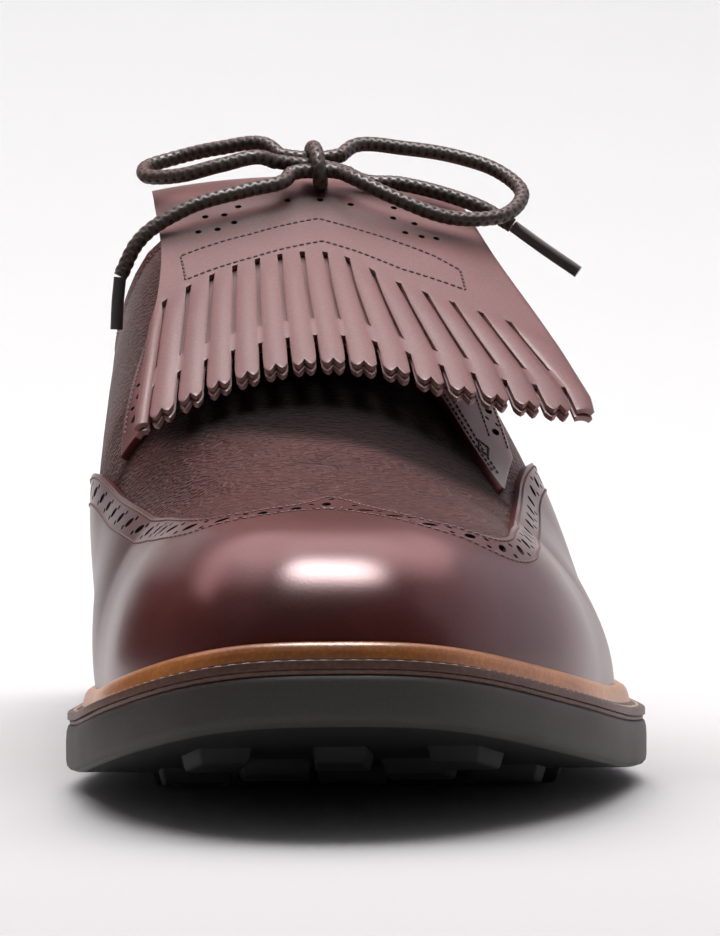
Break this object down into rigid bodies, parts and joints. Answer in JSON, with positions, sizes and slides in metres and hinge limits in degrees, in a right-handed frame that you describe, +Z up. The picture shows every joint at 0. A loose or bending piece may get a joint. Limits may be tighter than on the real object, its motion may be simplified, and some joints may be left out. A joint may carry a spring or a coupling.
{
  "type": "full brogue derby shoe",
  "caption": "Left full brogue derby with wing cap, grained upper, fringed kiltie over the lacing, tied bow, storm welt, and a studded rubber sole with a stacked heel.",
  "frame": {"origin": "on the floor, under the middle of the sole's outline", "axes": "-Y towards the toe, +X towards the lateral side of this left shoe, +Z up"},
  "size_m": [0.1122, 0.302, 0.1274],
  "materials": {
    "dark_rubber": "matt dark grey-olive moulded rubber",
    "edge_leather": "dyed and waxed brown leather edge",
    "tan_welt": "tan storm welt with a satin rounded bead",
    "insole_leather": "plain natural leather",
    "grained_leather": "pebbled dark burgundy-brown leather",
    "smooth_leather": "polished smooth burgundy-brown leather",
    "waxed_cord": "waxed round braided cord",
    "lace_tip": "dark rolled tip"
  },
  "bodies": {
    "root": {"outsole": "dark_rubber", "heel": "dark_rubber", "midsole": "edge_leather", "welt": "tan_welt", "insole": "insole_leather", "upper": "grained_leather", "tongue": "grained_leather", "wing_cap": "smooth_leather", "counter": "smooth_leather", "facing_medial": "smooth_leather", "facing_lateral": "smooth_leather", "kiltie": "smooth_leather", "lace_crossings": "waxed_cord", "lace_knot": "waxed_cord", "lace_loop_medial": "waxed_cord", "lace_loop_lateral": "waxed_cord", "lace_end_medial": "waxed_cord", "lace_end_lateral": "waxed_cord", "aglet_medial": "lace_tip", "aglet_lateral": "lace_tip"}
  },
  "joints": []
}
